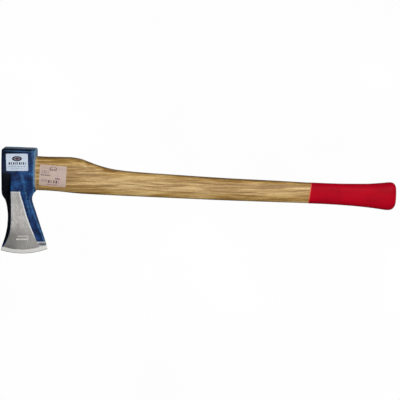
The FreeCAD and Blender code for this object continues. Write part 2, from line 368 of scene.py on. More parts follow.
def build_head():
    """Rings round the head, from its cutting edge up to the closed poll."""
    h = head_rows()
    x = head_columns(h)
    y = row_y(h[:, None], x)
    z = cheek_height(x, y)
    tilt_l = 1 / np.hypot(1, (toe_rim(y + 1) - toe_rim(y - 1)) / 2)
    tilt_r = 1 / np.hypot(1, (heel_rim(y + 1) - heel_rim(y - 1)) / 2)
    inset = np.minimum((x - toe_rim(y)) * tilt_l, (heel_rim(y) - x) * tilt_r)
    z = np.maximum(rim_round(z, np.clip(inset, 0, None)), 0.08)
    front = np.stack([x, y, z], 2)
    back = np.stack([x, y, -z], 2)[:, ::-1]
    side_steps = np.linspace(0, 1, 14)[1:-1]
    heel_side = front[:, -1:] + (back[:, :1] - front[:, -1:]) * side_steps[None, :, None]
    toe_side = back[:, -1:] + (front[:, :1] - back[:, -1:]) * side_steps[None, :, None]
    rings = list(np.concatenate([front, heel_side, back, toe_side], 1))
    return close_poll(rings)


def close_poll(rings):
    """Rounds the bevel round the poll and closes its face with shrinking rings."""
    rim = rings[-1]
    middle = np.array([POLL_MIDDLE_X, 0, 0])
    half_x, half_z = np.ptp(rim[:, 0]) / 2, np.ptp(rim[:, 2]) / 2

    def ring_at(share_x, share_z, below):
        ring = middle + (rim - middle) * np.array([share_x, 1, share_z])
        ring[:, 1] = POLL_Y - POLL_SLOPE * ring[:, 0] - below
        return ring

    for inset, below in ((0.12, 2.2), (0.4, 1.8), (1.6, 0.6), (2.0, 0.28), (2.6, 0.1), (3.6, 0.03)):
        rings.append(ring_at(1 - inset / half_x, 1 - inset / half_z, below))
    for share in np.linspace(0.94, 0.04, 22):
        rings.append(ring_at(share * (1 - 3.6 / half_x), share * (1 - 3.6 / half_z), 0.03 * share))
    return np.array(rings)


def eye_ring(x, grow=0.0):
    """Oval section of the eye and tongue at x."""
    share = (HANDLE_SIDE_X - x) / (HANDLE_SIDE_X - TONGUE_END_X)
    height, width = (mouth + (outer - mouth) * share for mouth, outer in zip(EYE_MOUTH, EYE_OUTER))
    return oval_ring(x, EYE_Y, height / 2 + grow, width / 2 + grow)


def oval_ring(x, centre_y, half_y, half_z, around=AROUND):
    turn = np.linspace(0, 2 * math.pi, around, endpoint=False)
    c, s = np.cos(turn), np.sin(turn)
    y = centre_y + half_y * np.sign(c) * np.abs(c) ** (2 / OVAL_POWER)
    z = half_z * np.sign(s) * np.abs(s) ** (2 / OVAL_POWER)
    return np.stack([np.full(around, x, float), y, z], 1)


def steel_mask(x, y, z):
    """1 on bare ground steel, 0 under paint, with an uneven border."""
    p = np.stack([x, y, z], 1)
    ragged = 0.35 * noise(p, 2.2, 11, 2)
    sides = np.minimum(x - crown_toe(y) + 0.1, crown_heel(y) + 0.3 - x)
    face = np.minimum(sides, SHOULDER_Y + 0.3 - y)
    heel_strip = np.where(x > crown_heel(y) - 2, HEEL_STRIP_TOP_Y - y, -5)
    bit = BEVEL_WIDTH - 0.5 - from_edge(x, y)
    border = np.maximum(np.maximum(face, heel_strip), bit) + ragged * 0.5
    on_cheek = np.abs(z) > 0.55 * cheek_height(x, y)
    border = np.where(on_cheek | (bit > 0) | (heel_strip > 0), border, -1)
    return smoothstep(-0.12, 0.12, border)


def make_head():
    points, faces = tube(build_head())
    head = new_mesh("head_forging", points, [face[::-1] for face in faces])
    cutter = new_mesh("eye_cutter", *tube(np.array([eye_ring(x, EYE_PLAY) for x in EYE_CUT_X])))
    cut(head, cutter)
    drop(cutter)
    head.data.update()
    roughen(head)
    finish_mesh(head.data, 38)
    return head


def roughen(head):
    """Makes the paint uneven, sinks the stamp, and stores where each kind of surface lies."""
    p = points_of(head)
    x, y, z = p.T
    normal = np.empty(len(p) * 3)
    head.data.vertices.foreach_get("normal", normal)
    normal = normal.reshape(-1, 3) @ TURN
    bare = steel_mask(x, y, z)
    forged = 0.20 * noise(p, 17, 3, 2) + 0.05 * noise(p, 4.5, 5, 2)
    forged *= np.where(z > 0, smoothstep(0, 5, off_label(x, y)), 1)
    rise = (forged + 0.10) * (1 - bare) * np.clip(np.abs(z) / 8, 0.1, 1)
    stamp = np.where((z > 0) & (bare > 0.5), stamp_depth(x, y), 0)
    rise -= STAMP_DEPTH * stamp
    in_eye = (np.abs(y - EYE_Y) < EYE_OUTER[0] / 2 + 2) & (np.abs(z) < EYE_OUTER[1] / 2 + 1)
    rise[in_eye] = 0
    p = p + normal * rise[:, None]
    head.data.vertices.foreach_set("co", place(p).ravel())
    layers = {"bare": bare, "stamp": stamp, "spot": p, "bit": polished(p), "edge": wear_and_highlight(p),
              "edge_glint": ground_edge(p), "side": painted_side_sheen(p), "painted_shading": painted_shading_masks(p),
              "strip": strip_tone(p)}
    for name, values in layers.items():
        set_attribute(head, name, values)


def polished(p):
    """1 on the bevel of the cutting edge, with an uneven border."""
    x, y, _ = p.T
    return smoothstep(-0.9, 0.9, BEVEL_WIDTH - from_edge(x, y) + 0.8 * noise(p, 9, 21))


def off_label(x, y):
    """Distance outside the head label's outline, negative inside it."""
    (cx, cy), (width, depth), _ = HEAD_LABEL
    return np.maximum(np.abs(x - cx) - width / 2, np.abs(y - cy) - depth / 2)


def ridge(distance, width):
    """1 on a line, falling off over width on both sides of it."""
    return np.exp(-(distance / width) ** 2)


def wear_and_highlight(p):
    """1 along the heel rim and the raised edges, where paint is thin and where a highlight is painted.
    """
    x, y, z = p.T
    high = np.abs(z) / np.maximum(cheek_height(x, y), 1)
    # rubbed paint and a painted highlight along the rounded heel rim
    heel = ridge(heel_rim(y) - x - 1.6, 1.5) * smoothstep(0.3, 0.6, high)
    toe = 0.2 * ridge(x - toe_rim(y) - 0.9, 1.0) * smoothstep(0.3, 0.6, high)
    # painted highlight along the flank of the raised wedge, partly rubbed paint
    crown = ridge(x - flank_shine(y), 1.9) * (high > 0.5)
    crown *= smoothstep(70, 100, y) * smoothstep(172, 164, y)
    # painted highlight near the heel corner of the block
    corner = 0.8 * ridge(x - 72.5, 1.6) * smoothstep(186, 206, y)
    return np.clip(heel + toe + crown + corner, 0, 1)


def painted_shading_masks(p):
    """(Painted shade towards the toe and beside the heel edge of the ground face; near-black painted
    shade beside the wedge and on the bevel under the poll, with a darker band above the label; thin
    pale line under the poll, rubbed paint with a painted highlight).
    """
    x, y, z = p.T
    below = from_poll(x, y)
    # painted shade: paint darker towards the toe, high on the block
    painted_shade = smoothstep(46, 9, x + 4 * noise(p, 14, 27)) * smoothstep(150, 168, y)
    # painted shade: near-black paint on the toe-side flank beside the wedge and along the toe rim
    black = smoothstep(-0.5, 2.5, crown_toe(y) - x + 0.8 * noise(p, 7, 29)) * smoothstep(176, 166, y)
    black = np.maximum(black, smoothstep(3.0, 0.8, x - toe_rim(y)))
    # painted shade: dark paint on the bevel under the poll
    bevel = 0.85 * smoothstep(2.6, 1.9, below) * smoothstep(5, 12, z)
    over_label = 0.6 * smoothstep(4.0, 5.4, below) * smoothstep(11, 9, below) * smoothstep(60, 45, x)
    # pale line under the poll: rubbed paint and a painted highlight
    line = ridge(below - 3.1, 0.9) * smoothstep(18, 22, z)
    # painted shade: dark line beside the heel edge of the ground face
    shade = 0.6 * ridge(x - crown_heel(y) - 2.3, 1.1) * smoothstep(30, 45, y) * smoothstep(140, 130, y)
    return np.stack([np.maximum(painted_shade, shade), np.maximum.reduce([black, bevel, over_label]), line], 1)


def strip_tone(p):
    """Strip above the bit: (light line under the paint, dark band below it, line along the edge)."""
    x, y, z = p.T
    inside = smoothstep(-1, 1, x - crown_heel(y) - 1 + 0.5 * noise(p, 3, 33))
    light = inside * ridge(y - 24.2, 0.9)
    dark = inside * smoothstep(17, 18.6, y) * smoothstep(23.0, 21.6, y)
    rim = smoothstep(1.6, 0.7, from_edge(x, y))
    return np.stack([light, dark, rim], 1)


def painted_side_sheen(p):
    """1 on the poll and on the side of the block towards the handle, where a painted sheen makes the
    paint look lighter.
    """
    x, y, z = p.T
    poll = smoothstep(0.9, 0.3, from_poll(x, y) + 0.15 * noise(p, 6, 23)) * smoothstep(13, 6, z)
    side = smoothstep(1.4, 0.7, heel_rim(y) - x + 0.2 * noise(p, 6, 25)) * smoothstep(138, 146, y)
    return np.maximum(poll, side)


def ground_edge(p):
    """1 along the border of the ground face, where a highlight is painted on the ground steel."""
    x, y, z = p.T
    heel = ridge(crown_heel(y) - x - 0.7, 1.3) * smoothstep(30, 45, y)
    toe = 0.35 * ridge(x - crown_toe(y) - 0.6, 0.8) * smoothstep(60, 80, y)
    top = 0.7 * ridge(SHOULDER_Y - y - 0.6, 0.9)
    return np.clip(heel + toe + top, 0, 1)


# ---------------------------------------------------------------- handle: shape

handle_top = flow([(71, 201.2), (100, 199.5), (124, 199.1), (145, 198.6), (165, 195.6), (185, 188.3),
                   (205, 181), (235, 173.5), (275, 168.7), (356, 162.8), (457, 156), (558, 150.7),
                   (650, 145.6), (700, 144), (740, 143.8), (775, 145.6), (803.5, 149)])
handle_low = flow([(71, 132.2), (100, 130.8), (124, 128.8), (145, 126.4), (165, 124.5), (185, 123.3),
                   (205, 122.3), (235, 120.8), (275, 118.9), (356, 115.2), (457, 110.7), (558, 107.1),
                   (650, 103.9), (700, 100.9), (740, 97.2), (775, 92.5), (803.5, 87.4)])
handle_half = flow([(71, 17), (100, 16.8), (124, 16.4), (145, 16), (165, 15.5), (185, 14.8),
                    (205, 14.2), (235, 13.6), (275, 13.2), (356, 13), (457, 12.8), (650, 12.8),
                    (700, 13.2), (740, 14.3), (775, 16), (803.5, 17.2)])
END_FROM_X = 775.0
END_X = 803.5
END_POWER = 3.1
END_TOP_POWER = 4.6
LEAN_REACH = 20


def shaft_ring(x, grow=0.0, shrink=1.0, around=AROUND, top_shrink=None):
    """Section of the handle, grown and then shrunk; top_shrink takes over above its middle."""
    top, low, half = float(handle_top(x)), float(handle_low(x)), float(handle_half(x))
    middle, reach = (top + low) / 2, (top - low) / 2 + grow
    above = reach * (shrink if top_shrink is None else top_shrink)
    below = reach * shrink
    middle += (above - below) / 2
    return oval_ring(x, middle, (above + below) / 2, shrink * (half + grow), around)


def end_rings(grow=0.0, around=AROUND):
    """Rings that close the swell of the grip."""
    rings = []
    for turn in np.radians(np.linspace(4, 88.5, 26)):
        share = math.sin(turn) ** (2 / END_POWER)
        shrink = math.cos(turn) ** (2 / END_POWER)
        top_shrink = (1 - share ** END_TOP_POWER) ** (1 / END_TOP_POWER)
        x = END_FROM_X + share * (END_X - END_FROM_X)
        ring = shaft_ring(x, grow, shrink, around, top_shrink)
        ring[:, 0] = END_FROM_X + share * (END_X + grow - END_FROM_X)
        rings.append(ring)
    return rings


def lean(ring, share=1.0):
    """Slides the points of a ring along the handle so that they follow the side of the head."""
    slide = share * (heel_rim(ring[:, 1]) - SHOULDER_X)
    return ring + np.stack([slide, 0 * slide, 0 * slide], 1)


def make_handle():
    """Tongue, shoulder against the head, bent shaft and swollen end, with room for the wedges."""
    rim = eye_ring(TONGUE_END_X)
    middle = rim.mean(0)
    rings = [middle + (rim - middle) * s + (dx, 0, 0) for s, dx in
             [(0.2, 0), (0.5, 0), (0.75, 0), (0.9, 0), (0.965, 0), (0.985, 0.15), (1.0, 0.7)]]
    rings += [eye_ring(x) for x in np.linspace(TONGUE_END_X + 2, SHOULDER_X - 4, 19)]
    shoulder = shaft_ring(SHOULDER_X)
    tongue = eye_ring(SHOULDER_X)
    rings += [lean(tongue + (shoulder - tongue) * s + (dx, 0, 0)) for s, dx in
              [(0, -0.05), (0.3, 0), (0.7, 0.05), (0.93, 0.2), (0.985, 0.6), (1.0, 1.4)]]
    rings += [lean(shaft_ring(SHOULDER_X + dx), 1 - dx / LEAN_REACH)
              for dx in (3.5, 5, 7, 9, 11, 13, 15, 17, 19)]
    rings += [shaft_ring(x) for x in np.linspace(SHOULDER_X + LEAN_REACH + 0.5, END_FROM_X, 460)]
    rings += end_rings()
    points, faces = tube(np.array(rings))
    handle = new_mesh("handle_wood", points, faces)
    for node in ("kerf_wedge", "ring_wedges"):
        cut(handle, frame["nodes"][node])
    p = points_of(handle)
    finish_mesh(handle.data, 40)
    set_attribute(handle, "spot", p)
    joint = ridge(np.clip(p[:, 0] - heel_rim(p[:, 1]), 0, None), 2.5) * (p[:, 0] > SHOULDER_X - 3)
    top, low = handle_top(p[:, 0]), handle_low(p[:, 0])
    across = (2 * p[:, 1] - top - low) / (top - low)
    # painted shade: darker along the top and bottom edges of the handle, more at the bottom
    shade = 0.5 * smoothstep(0.88, 1, across) + 0.9 * smoothstep(-0.88, -1, across)
    set_attribute(handle, "rim", shade)
    set_attribute(handle, "joint", joint)
    return handle


# ---------------------------------------------------------------- grip coat

COAT_EDGE = (627.3, 125.9)
COAT_SLANT = 0.137
COAT_THICKNESS = 0.4
COAT_AROUND = 128


def make_grip():
    """Thin skin over the wood, with a rounded lip that waves a little along its slanted edge."""
    profile = [(0.0, -0.05), (0.0, 0.16), (0.25, 0.33), (0.8, 0.42), (1.6, 0.40), (3, 0.4)]
    profile += [(d, COAT_THICKNESS) for d in np.linspace(5, END_FROM_X - COAT_EDGE[0], 120)]
    rings = []
    for along_x, grow in profile:
        ring = shaft_ring(COAT_EDGE[0] + along_x, grow, 1.0, COAT_AROUND)
        slant = np.clip(1 - along_x / 70, 0, 1) ** 2
        wave = 0.5 * noise(np.stack([ring[:, 1], ring[:, 2], 0 * ring[:, 1]], 1), 14, 31, 2)
        x = ring[:, 0] + slant * (COAT_SLANT * (ring[:, 1] - COAT_EDGE[1]) + wave)
        rings.append([shaft_ring(float(x[i]), grow, 1.0, COAT_AROUND)[i] for i in range(COAT_AROUND)])
    rings += end_rings(COAT_THICKNESS, COAT_AROUND)
    points, faces = tube(np.array(rings))
    grip = new_mesh("grip_dip", points, faces)
    p = points_of(grip)
    lip = p[:, 0] - (COAT_EDGE[0] + COAT_SLANT * (p[:, 1] - COAT_EDGE[1]))
    set_attribute(grip, "lip", lip)
    set_attribute(grip, "spot", p)
    return grip


# ---------------------------------------------------------------- labels

HANDLE_LABEL = ((111.9, 163.0), (53.5, 42.9), math.radians(-5.2))


def rounded(u, v, width, depth, radius):
    """Grid over a rectangle, pulled in at its four corners."""
    x, y = u * width / 2, v * depth / 2
    a = np.clip(np.abs(x) - (width / 2 - radius), 0, radius)
    b = np.clip(np.abs(y) - (depth / 2 - radius), 0, radius)
    pull_a = a * (np.sqrt(1 - b * b / (2 * radius ** 2)) - 1)
    pull_b = b * (np.sqrt(1 - a * a / (2 * radius ** 2)) - 1)
    return x + np.sign(x) * pull_a, y + np.sign(y) * pull_b


def cheek_surface(x, y):
    """Height of the front cheek, with its paint, over a point."""
    return np.full(x.shape, CHEEK_HALF + 0.12)


def handle_surface(x, y):
    """Front height of the handle over a point."""
    top, low = handle_top(x), handle_low(x)
    t = np.clip(np.abs(2 * y - top - low) / (top - low), 0, 1)
    return handle_half(x) * (1 - t ** OVAL_POWER) ** (1 / OVAL_POWER)


def make_label(name, spec, under, print_ink, nx, ny, radius):
    """Thin printed sheet that follows the surface under it."""
    (cx, cy), (width, depth), turn = spec
    u, v = np.meshgrid(np.linspace(-1, 1, nx), np.linspace(-1, 1, ny), indexing="ij")
    lx, ly = rounded(u, v, width, depth, radius)
    x = cx + lx * math.cos(turn) - ly * math.sin(turn)
    y = cy + lx * math.sin(turn) + ly * math.cos(turn)
    base = under(x, y)
    flat = np.stack([x.ravel(), y.ravel(), 0 * x.ravel()], 1)
    edge = np.minimum(width / 2 - np.abs(lx), depth / 2 - np.abs(ly))
    lift = 0.14 + 0.05 * noise(flat, 9, 41, 2).reshape(x.shape) + 0.05 * np.exp(-edge / 1.2)
    top = np.stack([x, y, base + np.clip(lift, 0.06, 0.3)], 2).reshape(-1, 3)
    low = np.stack([x, y, base - 0.06], 2).reshape(-1, 3)
    faces = []
    n = nx * ny
    for i in range(nx - 1):
        for j in range(ny - 1):
            a, b, c, d = i * ny + j, (i + 1) * ny + j, (i + 1) * ny + j + 1, i * ny + j + 1
            faces.append((a, b, c, d))
            faces.append((n + d, n + c, n + b, n + a))
    border = [i * ny for i in range(nx)] + [(nx - 1) * ny + j for j in range(1, ny)]
    border += [i * ny + ny - 1 for i in range(nx - 2, -1, -1)] + [j for j in range(ny - 2, 0, -1)]
    for a, b in zip(border, border[1:] + border[:1]):
        faces.append((b, a, n + a, n + b))
    label = new_mesh(name, np.vstack([top, low]), faces)
    ink = print_ink(lx.ravel(), ly.ravel())
    set_attribute(label, "ink", np.vstack([ink, np.zeros_like(ink)]))
    set_attribute(label, "spot", np.vstack([top, low]))
    return label


def soft_box(x, y, x0, x1, y0, y1, blur=0.12):
    """1 inside a rectangle, with slightly blurred sides."""
    return (smoothstep(x0 - blur, x0 + blur, x) * smoothstep(-x1 - blur, -x1 + blur, -x)
            * smoothstep(y0 - blur, y0 + blur, y) * smoothstep(-y1 - blur, -y1 + blur, -y))


def bars(x, y, x0, x1, y0, y1, widths, gap):
    """Row of plain bars that stands for a line of print."""
    ink = np.zeros_like(x)
    at, k = x0, 0
    while at < x1:
        w = widths[k % len(widths)]
        ink = np.maximum(ink, soft_box(x, y, at, min(at + w, x1), y0, y1))
        at += w + gap * (1 + 0.6 * (k % 3 == 1))
        k += 1
    return ink


def head_print(x, y):
    """Round emblem over a row of bold bars, with two fine lines below: (dark, red, grey)."""
    r = np.hypot(x / 1.9, y - 7.2)
    disc = smoothstep(-5.3, -5.1, -r) * smoothstep(2.7, 2.9, r) + smoothstep(-2.4, -2.2, -r)
    core = smoothstep(-2.5, -2.3, -r)
    bold = bars(x, y, -16.8, 17.6, -4.6, 0.2, (3.0, 1.9, 2.6, 1.3, 2.4), 1.5)
    fine = bars(x, y, -17.0, 17.0, -9.4, -7.4, (2.2, 1.2, 3.0, 1.7), 0.9)
    fine = np.maximum(fine, 0.8 * bars(x, y, -12.5, 12.5, -13.2, -11.9, (3.2, 2.0, 1.2), 1.0))
    return np.stack([np.maximum(disc, bold), core, fine], 1)


def handle_print(x, y):
    """Small emblem with a thin double line, blocks of print and a row of code bars."""
    r = np.hypot((x - 0.2) / 1.6, y - 14.2)
    ring = smoothstep(-4.6, -4.4, -r) * smoothstep(3.5, 3.7, r) * (y > 12.4)
    ring = np.maximum(ring, bars(x, y, -7.0, 7.4, 10.6, 13.6, (2.6, 3.4, 2.2), 0.8))
    rules = np.maximum(soft_box(x, y, -25, 25, 15.6, 16.2), soft_box(x, y, -25, 25, 13.2, 13.7))
    block = bars(x, y, -23, -9, 3.5, 10.5, (1.6, 0.9, 2.2), 0.9)
    line = bars(x, y, -24, -5, -0.6, 1.8, (3.6, 2.4, 4.2), 0.8)
    small = bars(x, y, 5, 15, -6.6, -4.0, (2.6, 3.6, 1.1), 0.9)
    code = bars(x, y, -23, -10, -13.4, -7.4, (0.8, 1.6, 0.6, 1.1), 0.8)
    digits = bars(x, y, -8.5, 12, -14.6, -8.8, (2.6, 1.4, 2.2), 2.4)
    foot = bars(x, y, -12, 9, -18.6, -17.2, (6, 3, 4), 0.9)
    dark = np.maximum.reduce([ring * 0.8, line * 0.8, digits, small])
    grey = np.maximum.reduce([rules * 0.7, block * 0.9, foot * 0.8, code])
    return np.stack([dark, np.maximum(ring * 0.3, foot * 0.5), grey], 1)


# ---------------------------------------------------------------- materials

class Shader:
    """Small helper that builds one node material."""

    def __init__(self, name):
        self.material = bpy.data.materials.new(name)
        self.material.use_nodes = True
        self.tree = self.material.node_tree
        self.surface = self.tree.nodes["Principled BSDF"]

    def node(self, kind, inputs=None, **settings):
        made = self.tree.nodes.new("ShaderNode" + kind)
        for key, value in settings.items():
            setattr(made, key, value)
        for key, value in (inputs or {}).items():
            self.feed(made.inputs[key], value)
        return made

    def feed(self, socket, value):
        if isinstance(value, bpy.types.NodeSocket):
            self.tree.links.new(value, socket)
        else:
            socket.default_value = value

    def set(self, **values):
        for key, value in values.items():
            self.feed(self.surface.inputs[key.replace("_", " ")], value)

    def stored(self, name, output="Fac"):
        """What set_attribute() stored: its number, or its vector."""
        return self.node("Attribute", attribute_name=name).outputs[output]

    def split(self, vector):
        """X, Y and Z of a vector."""
        return tuple(self.node("SeparateXYZ", {"Vector": vector}).outputs)

    def spot(self, scale=(1, 1, 1), turn=(0, 0, 0)):
        """Head-frame place in millimetres, scaled for a texture."""
        vector = self.stored("spot", "Vector")
        made = self.node("Mapping", {"Vector": vector, "Scale": scale, "Rotation": turn})
        return made.outputs["Vector"]

    def noise(self, vector, scale, detail=3.0, rough=0.5):
        made = self.node("TexNoise", {"Vector": vector, "Scale": scale, "Detail": detail,
                                      "Roughness": rough})
        return made.outputs["Fac"]

    def math(self, operation, a, b=0.0, clamp=False):
        made = self.node("Math", {0: a, 1: b}, operation=operation, use_clamp=clamp)
        return made.outputs["Value"]

    def times(self, a, b, clamp=False):
        return self.math("MULTIPLY", a, b, clamp)

    def weighted(self, *pairs):
        """Sum of (value, weight) pairs."""
        total = self.times(*pairs[0])
        for pair in pairs[1:]:
            total = self.math("ADD", total, self.times(*pair))
        return total

    def ramp(self, fac, stops):
        made = self.node("ValToRGB", {"Fac": fac})
        ramp = made.color_ramp
        while len(ramp.elements) < len(stops):
            ramp.elements.new(0.5)
        for element, (at, colour) in zip(ramp.elements, stops):
            element.position = at
            element.color = (*colour, 1) if len(colour) == 3 else colour
        return made.outputs["Color"]

    def span(self, value, low, high, to_low=0.0, to_high=1.0):
        made = self.node("MapRange", {"Value": value, "From Min": low, "From Max": high,
                                      "To Min": to_low, "To Max": to_high})
        return made.outputs["Result"]

    def mix(self, fac, a, b, mode="MIX"):
        made = self.node("Mix", data_type="RGBA", blend_type=mode)
        self.feed(made.inputs[0], fac)
        self.feed(made.inputs[6], a)
        self.feed(made.inputs[7], b)
        return made.outputs[2]

    def blend(self, fac, a, b):
        made = self.node("Mix", data_type="FLOAT")
        self.feed(made.inputs[0], fac)
        self.feed(made.inputs[2], a)
        self.feed(made.inputs[3], b)
        return made.outputs[0]

    def blend_vectors(self, fac, a, b):
        made = self.node("Mix", data_type="VECTOR")
        self.feed(made.inputs[0], fac)
        self.feed(made.inputs[4], a)
        self.feed(made.inputs[5], b)
        return made.outputs[1]

    def bump(self, height, distance, strength=1.0, below=None):
        made = self.node("Bump", {"Height": height, "Distance": distance, "Strength": strength})
        if below is not None:
            self.feed(made.inputs["Normal"], below)
        return made.outputs["Normal"]


def rgb(r, g, b):
    """8-bit display colour to linear."""
    def linear(c):
        c /= 255
        return c / 12.92 if c <= 0.04045 else ((c + 0.055) / 1.055) ** 2.4
    return (linear(r), linear(g), linear(b), 1.0)


def paint_colour(s, grit):
    """Cloudy blue paint: dull or scuffed in places, with painted shade towards the toe and beside the
    wedge, rubbed edges with painted highlights, and a painted sheen on the poll and the handle side.
    """
    painted_shade, black, line = s.split(s.stored("painted_shading", "Vector"))
    clouds = s.noise(s.spot(), 0.055, 4, 0.6)
    paint = s.ramp(clouds, [(0.34, rgb(20, 36, 70)), (0.5, rgb(25, 56, 108)), (0.66, rgb(36, 90, 150))])
    paint = s.mix(s.times(s.span(grit, 0.50, 0.36), 0.6), paint, rgb(14, 24, 50))
    scuff = s.times(s.span(grit, 0.55, 0.70), s.span(clouds, 0.40, 0.60))
    paint = s.mix(s.times(scuff, 0.7), paint, rgb(88, 134, 172))
    # painted shade: darker paint towards the toe and beside the heel edge of the ground face
    painted_shading = s.ramp(grit, [(0.42, rgb(18, 22, 38)), (0.6, rgb(30, 38, 60))])
    paint = s.mix(s.times(painted_shade, 0.95), paint, painted_shading)
    # pale line under the poll: rubbed paint and a painted highlight
    paint = s.mix(s.times(line, 0.75), paint, rgb(84, 122, 152))
    # painted shade: near-black beside the wedge and on the poll bevel, and a darker band above the
    # label
    paint = s.mix(black, paint, rgb(3, 5, 14))
    # rubbed paint and painted highlights along the heel rim and the raised edges
    worn_and_highlit = s.times(s.stored("edge"), s.span(s.noise(s.spot(), 0.16, 4, 0.6), 0.36, 0.60))
    paint = s.mix(s.times(worn_and_highlit, 0.75), paint, rgb(74, 124, 168))
    # painted sheen: paler paint on the poll and on the side of the block towards the handle
    pale = s.ramp(grit, [(0.4, rgb(102, 132, 162)), (0.6, rgb(138, 172, 196))])
    return s.mix(s.times(s.stored("side"), 0.9), paint, pale)


def steel_colour(s, bit, streak):
    """Ground steel: streaky, darker at the top and low on the toe side, with a painted highlight along
    its borders.
    """
    x, y, _ = s.split(s.stored("spot", "Vector"))
    light, dark, rim = s.split(s.stored("strip", "Vector"))
    patch = s.noise(s.spot(scale=(1.0, 0.30, 1.0)), 0.11, 3, 0.5)
    tone = s.weighted((streak, 0.55), (patch, 0.45))
    steel = s.ramp(tone, [(0.38, rgb(176, 173, 169)), (0.5, rgb(208, 205, 201)),
                          (0.62, rgb(238, 234, 232))])
    steel = s.mix(s.times(s.span(y, 92, 128), 0.35), steel, rgb(164, 162, 160))
    low = s.times(s.span(y, 66, 40), s.span(x, 54, 22, 0.5, 1.0))
    low = s.times(low, s.span(patch, 0.3, 0.6, 0.6, 1.0))
    steel = s.mix(s.times(low, 0.85, True), steel, rgb(106, 105, 101))
    steel = s.mix(bit, steel, rgb(248, 247, 243))
    steel = s.mix(s.times(light, 0.8), steel, rgb(190, 202, 216))
    steel = s.mix(s.times(dark, 0.85), steel, rgb(74, 86, 100))
    steel = s.mix(s.times(rim, 0.8), steel, rgb(104, 104, 102))
    # painted highlight along the border of the ground face
    steel = s.mix(s.times(s.stored("edge_glint"), 0.85), steel, rgb(244, 250, 255))
    return s.mix(s.times(s.stored("stamp"), 0.9), steel, rgb(240, 236, 228))


def forging_material():
    """Dark blue paint over scale, and ground steel with a polished bit."""
    s = Shader("forged_head")
    bare, bit = s.stored("bare"), s.stored("bit")
    grit = s.noise(s.spot(), 0.42, 5, 0.65)
    fine = s.noise(s.spot(), 1.6, 3, 0.6)
    streak = s.noise(s.spot(scale=(1.0, 0.045, 1.0)), 0.9, 4, 0.7)
    s.set(Base_Color=s.mix(bare, paint_colour(s, grit), steel_colour(s, bit, streak)))
    s.set(Metallic=s.blend(bit, s.times(bare, 0.25), 0.1))
    s.set(Specular_IOR_Level=s.blend(bare, 0.12, 0.5))
    rough_steel = s.blend(bit, s.span(streak, 0.3, 0.7, 0.55, 0.42), 0.36)
    s.set(Roughness=s.blend(bare, s.span(fine, 0.3, 0.7, 0.34, 0.52), rough_steel))
    skin = s.bump(fine, 0.00015, 0.3, s.bump(grit, 0.0006, 0.45))
    s.set(Normal=s.blend_vectors(bare, skin, s.bump(streak, 0.0002, 0.5)))
    return s.material


GRAIN_TURN = math.radians(3.2)


def wood_material(name, light, middle, dark, line):
    """Ash: growth rings as long streaks, short open pores, and slow changes of tone."""
    s = Shader(name)

    def grain(stretch, scale, detail, rough):
        """Noise drawn out along the grain."""
        return s.noise(s.spot(scale=stretch, turn=(0, 0, GRAIN_TURN)), scale, detail, rough)

    _, across, deep = s.split(s.spot(turn=(0, 0, GRAIN_TURN)))
    layers = s.weighted((across, 0.13), (deep, 0.04), (grain((0.004, 0.02, 0.02), 1.0, 2, 0.5), 3.2))
    late = s.ramp(s.math("FRACT", layers), [(0.0, (0, 0, 0)), (0.45, (0.15, 0.15, 0.15)),
                                            (0.82, (1, 1, 1)), (0.97, (0.1, 0.1, 0.1))])
    streak = grain((0.07, 1, 1), 0.20, 4, 0.6)
    fibre = grain((0.03, 1, 1), 0.55, 5, 0.7)
    pores = grain((0.11, 1, 1), 1.9, 2, 0.5)
    tone = grain((0.25, 1, 1), 0.022, 3, 0.5)
    mixed = s.weighted((tone, 0.25), (streak, 0.45), (fibre, 0.30))
    base = s.ramp(mixed, [(0.42, dark), (0.5, middle), (0.57, light)])
    break_up = s.span(grain((0.15, 1, 1), 0.09, 2, 0.5), 0.38, 0.58)
    base = s.mix(s.times(s.times(late, break_up), 0.60), base, line)
    base = s.mix(s.times(s.span(pores, 0.56, 0.68), 0.55), base, line)
    # painted shade along the top and bottom edges of the handle
    base = s.mix(s.stored("rim"), base, rgb(66, 40, 14))
    base = s.mix(s.times(s.stored("joint"), 0.5), base, rgb(196, 186, 168))
    s.set(Base_Color=base)
    s.set(Roughness=s.span(fibre, 0.3, 0.7, 0.55, 0.40))
    s.set(Normal=s.bump(pores, 0.00010, 0.4, s.bump(fibre, 0.00018, 0.5)))
    return s.material


def dip_material():
    s = Shader("red_dip")
    soft = s.noise(s.spot(scale=(0.4, 1, 1)), 0.05, 3, 0.5)
    fine = s.noise(s.spot(scale=(0.2, 1, 1)), 0.6, 3, 0.6)
    red = s.ramp(soft, [(0.35, rgb(160, 4, 26)), (0.6, rgb(176, 4, 29))])
    thin = s.span(s.stored("lip"), 2.2, 0.3)
    s.set(Base_Color=s.mix(thin, red, rgb(236, 120, 92)))
    s.set(Roughness=s.span(fine, 0.3, 0.7, 0.48, 0.56))
    under = s.bump(fine, 0.0002, 0.25)
    s.set(Normal=s.bump(soft, 0.0008, 0.25, under))
    s.set(Specular_IOR_Level=0.04)
    return s.material


def label_material(name, paper, tint, dark, red, grey):
    s = Shader(name)
    dark_ink, red_ink, grey_ink = s.split(s.stored("ink", "Vector"))
    fibre = s.noise(s.spot(), 1.1, 4, 0.6)
    patch = s.noise(s.spot(), 0.07, 3, 0.5)
    base = s.mix(s.span(patch, 0.35, 0.65), paper, tint)
    base = s.mix(s.span(fibre, 0.45, 0.75, 0.0, 0.25), base, grey)
    base = s.mix(s.times(grey_ink, 0.85), base, grey)
    base = s.mix(dark_ink, base, dark)
    base = s.mix(red_ink, base, red)
    s.set(Base_Color=base)
    s.set(Roughness=s.span(fibre, 0.3, 0.7, 0.34, 0.5))
    s.set(Normal=s.bump(patch, 0.0006, 0.3))
    return s.material


